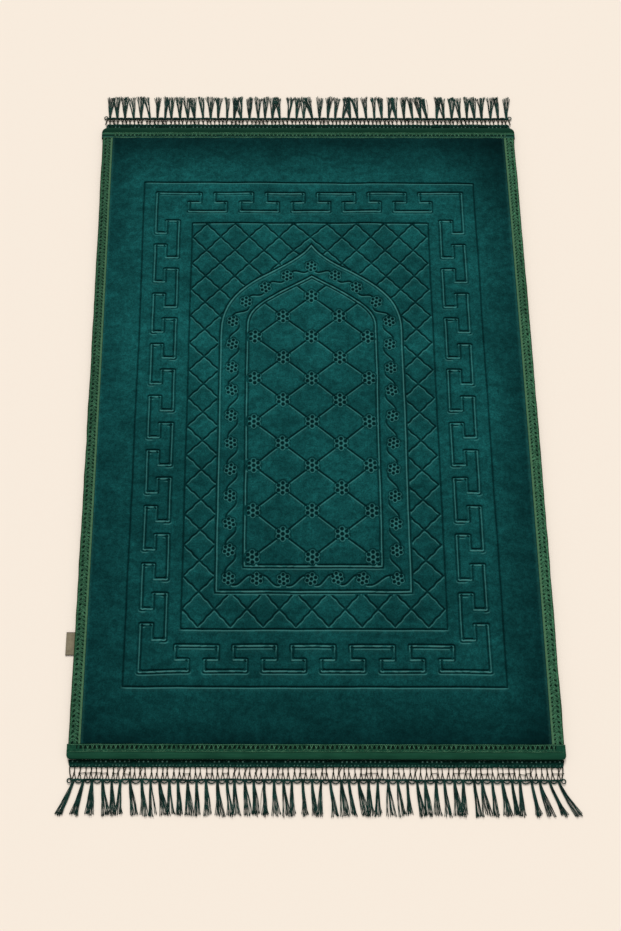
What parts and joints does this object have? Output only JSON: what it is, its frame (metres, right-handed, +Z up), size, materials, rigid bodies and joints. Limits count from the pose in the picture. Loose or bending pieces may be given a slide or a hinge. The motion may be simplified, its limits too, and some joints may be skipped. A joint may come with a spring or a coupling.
{
  "type": "prayer rug",
  "caption": "Padded velvet prayer rug with a pressed arch pattern, bound edges, and a knotted tassel trim on both short ends, lying flat.",
  "frame": {"origin": "on the floor, under the middle of the whole rug with its tassels", "axes": "+Y along the rug towards the arch's point, +X to the right seen from above, +Z up through the thickness"},
  "size_m": [0.8366, 1.3406, 0.009],
  "materials": {
    "velvet": "short velvet pile",
    "tape": "woven satin tape, stitched",
    "trim": "matt twisted yarn",
    "tab": "plain woven tape"
  },
  "bodies": {
    "root": {"pad": "velvet", "binding_left": "tape", "binding_right": "tape", "binding_near": "tape", "binding_far": "tape", "fringe_near": "trim", "fringe_far": "trim", "side_tab": "tab"}
  },
  "joints": []
}
